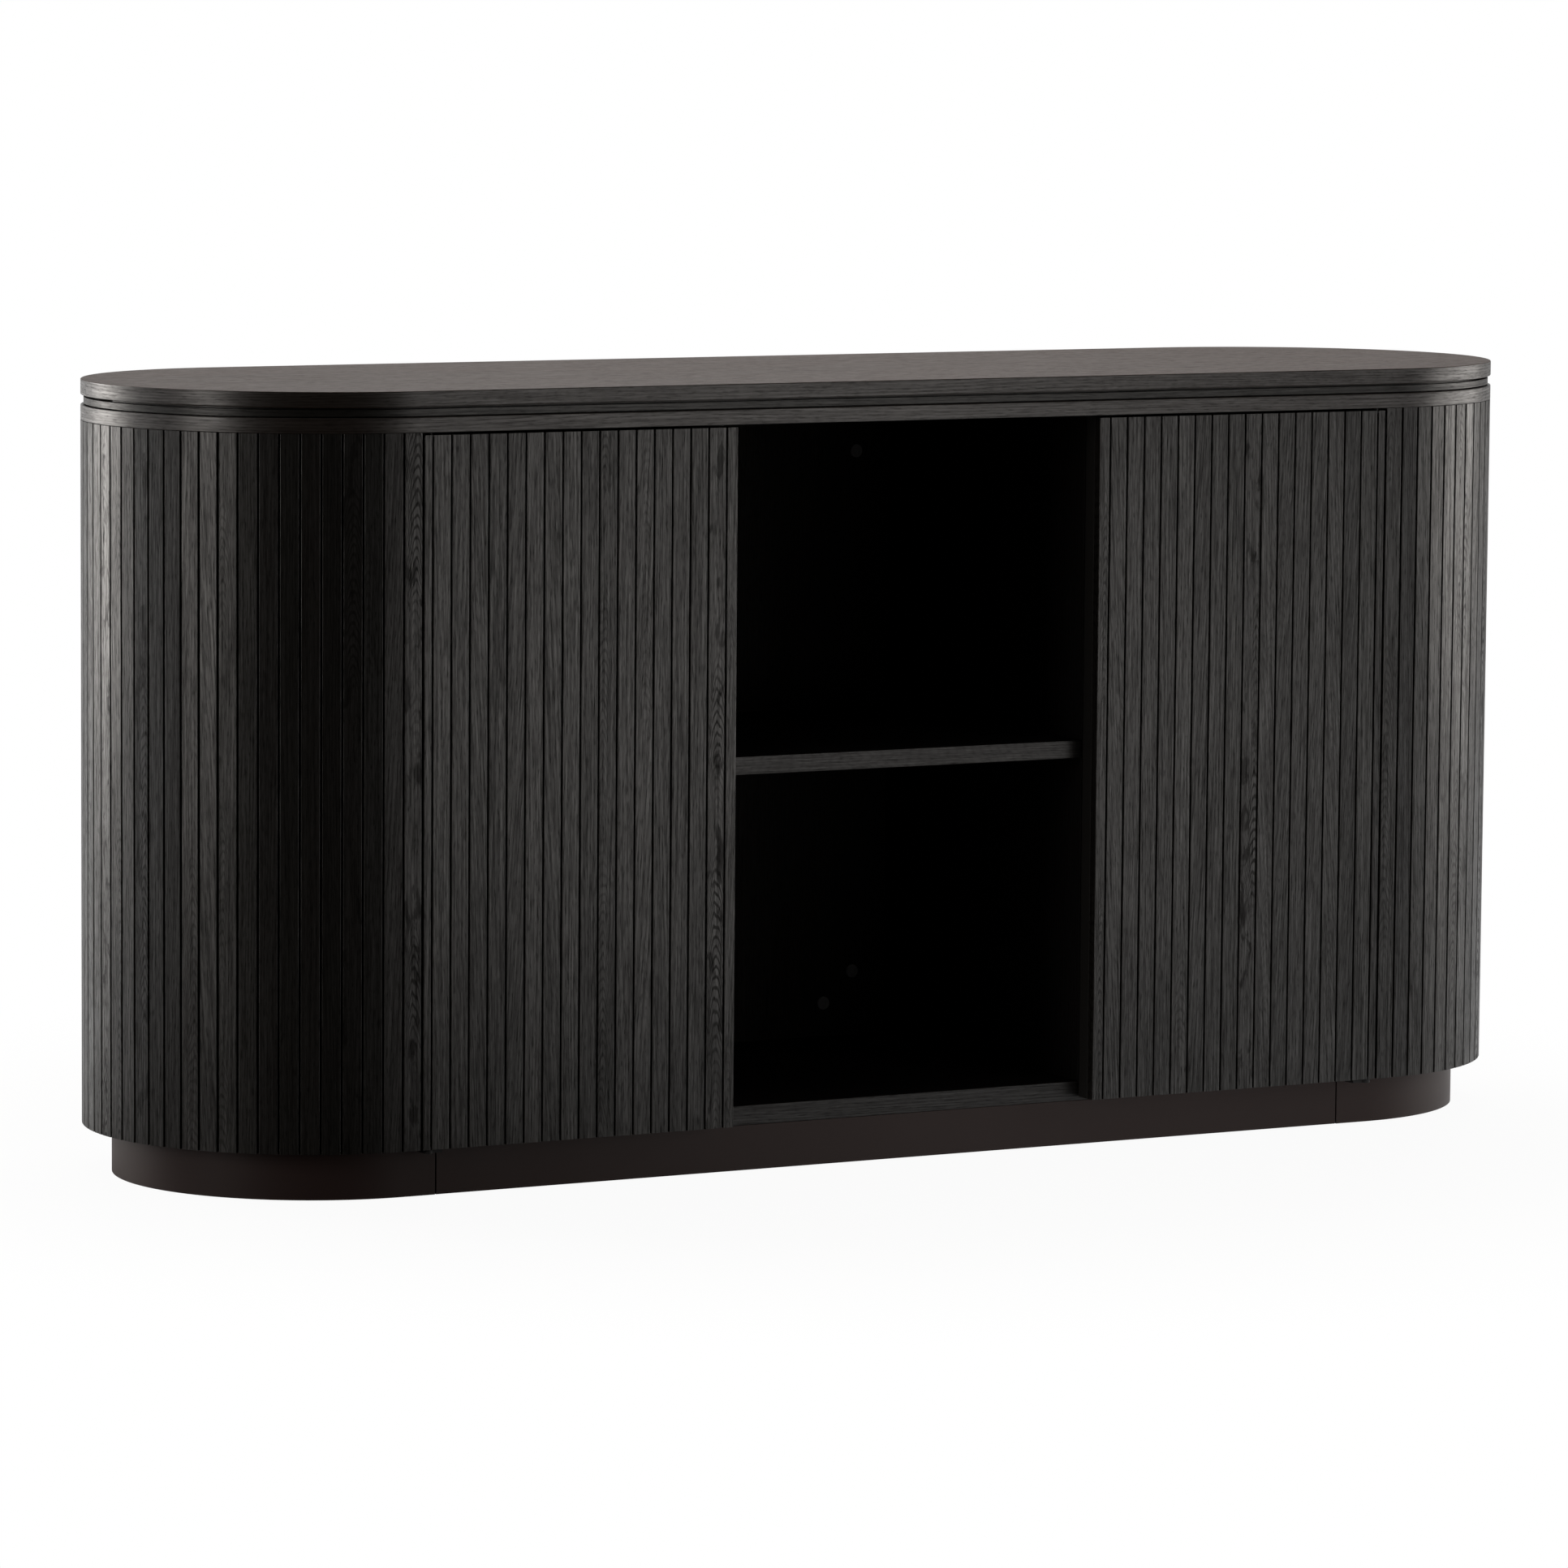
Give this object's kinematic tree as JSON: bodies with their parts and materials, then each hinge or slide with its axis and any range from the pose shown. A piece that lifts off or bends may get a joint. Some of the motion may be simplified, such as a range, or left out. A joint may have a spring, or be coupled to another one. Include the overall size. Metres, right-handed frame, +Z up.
{
  "type": "sideboard buffet",
  "caption": "Low sideboard with rounded slatted ends, slatted push-to-open doors either side of an open bay with a shelf, a flat top over a recessed band, and a recessed plinth.",
  "frame": {"origin": "centre of the footprint, on the floor under the glides", "axes": "+X along the length to the viewer's right, -Y out of the door side, +Z up"},
  "size_m": [1.6, 0.466, 0.8],
  "materials": {
    "black_oak": "oak veneer and slats, stained espresso black, open grain, satin",
    "top_oak": "oak veneer stained dark brown black, open grain along the length, satin",
    "inner_oak": "oak veneer stained near black, matte inner faces, front edges lipped and stained as the slats",
    "plinth_oak": "dark brown stained smooth board, satin",
    "backing_board": "black stained plywood, matte",
    "black_steel": "black powder coat, fine texture",
    "zinc_steel": "zinc plated steel",
    "grey_nylon": "dark grey moulded nylon",
    "black_nylon": "black moulded nylon",
    "beech": "bare beech dowel"
  },
  "bodies": {
    "carcass": {"top_panel": "top_oak", "spacer_board": "black_oak", "frieze_board": "black_oak", "floor_board": "inner_oak", "back_panel": "inner_oak", "left_divider": "inner_oak", "right_divider": "inner_oak", "left_partition": "inner_oak", "right_partition": "inner_oak", "middle_shelf": "inner_oak", "left_shelf": "inner_oak", "right_shelf": "inner_oak", "left_end_shell": "backing_board", "right_end_shell": "backing_board", "left_end_slats": "black_oak", "right_end_slats": "black_oak", "left_end_battens": "backing_board", "right_end_battens": "backing_board", "left_hinge_plate": "black_steel", "right_hinge_plate": "black_steel", "left_hinge_bracket": "black_steel", "right_hinge_bracket": "black_steel", "left_hinge_pins": "black_steel", "right_hinge_pins": "black_steel", "left_hinge_washer": "black_nylon", "right_hinge_washer": "black_nylon", "left_latch_housing": "grey_nylon", "right_latch_housing": "grey_nylon", "front_plinth": "plinth_oak", "back_plinth": "plinth_oak", "left_plinth": "plinth_oak", "right_plinth": "plinth_oak", "plinth_stretchers": "backing_board", "plinth_blocks": "backing_board", "glides": "grey_nylon", "top_screws": "zinc_steel", "carcass_screws": "zinc_steel", "back_screws": "zinc_steel", "plinth_screws": "zinc_steel", "hinge_screws": "black_steel", "dowels": "beech", "shelf_pins": "zinc_steel", "back_caps": "grey_nylon"},
    "left_door": {"left_door_panel": "backing_board", "left_door_slats": "black_oak", "left_hinge_leaves": "black_steel", "left_leaf_screws": "black_steel", "left_latch_strike": "zinc_steel"},
    "right_door": {"right_door_panel": "backing_board", "right_door_slats": "black_oak", "right_hinge_leaves": "black_steel", "right_leaf_screws": "black_steel", "right_latch_strike": "zinc_steel"},
    "left_plunger": {"left_latch_plunger": "black_steel"},
    "right_plunger": {"right_latch_plunger": "black_steel"}
  },
  "joints": [
    {"name": "left_door_swing", "type": "hinge", "parent": "carcass", "child": "left_door", "pos_m": [-0.55075, -0.228, 0.404], "axis": [0, 0, -1], "range_deg": [0, 105]},
    {"name": "right_door_swing", "type": "hinge", "parent": "carcass", "child": "right_door", "pos_m": [0.55075, -0.228, 0.404], "axis": [0, 0, 1], "range_deg": [0, 105]},
    {"name": "left_latch_push", "type": "slide", "parent": "carcass", "child": "left_plunger", "axis": [0, 1, 0], "range_m": [0, 0.0015], "stiffness_N_per_m": 800},
    {"name": "right_latch_push", "type": "slide", "parent": "carcass", "child": "right_plunger", "axis": [0, 1, 0], "range_m": [0, 0.0015], "stiffness_N_per_m": 800}
  ]
}
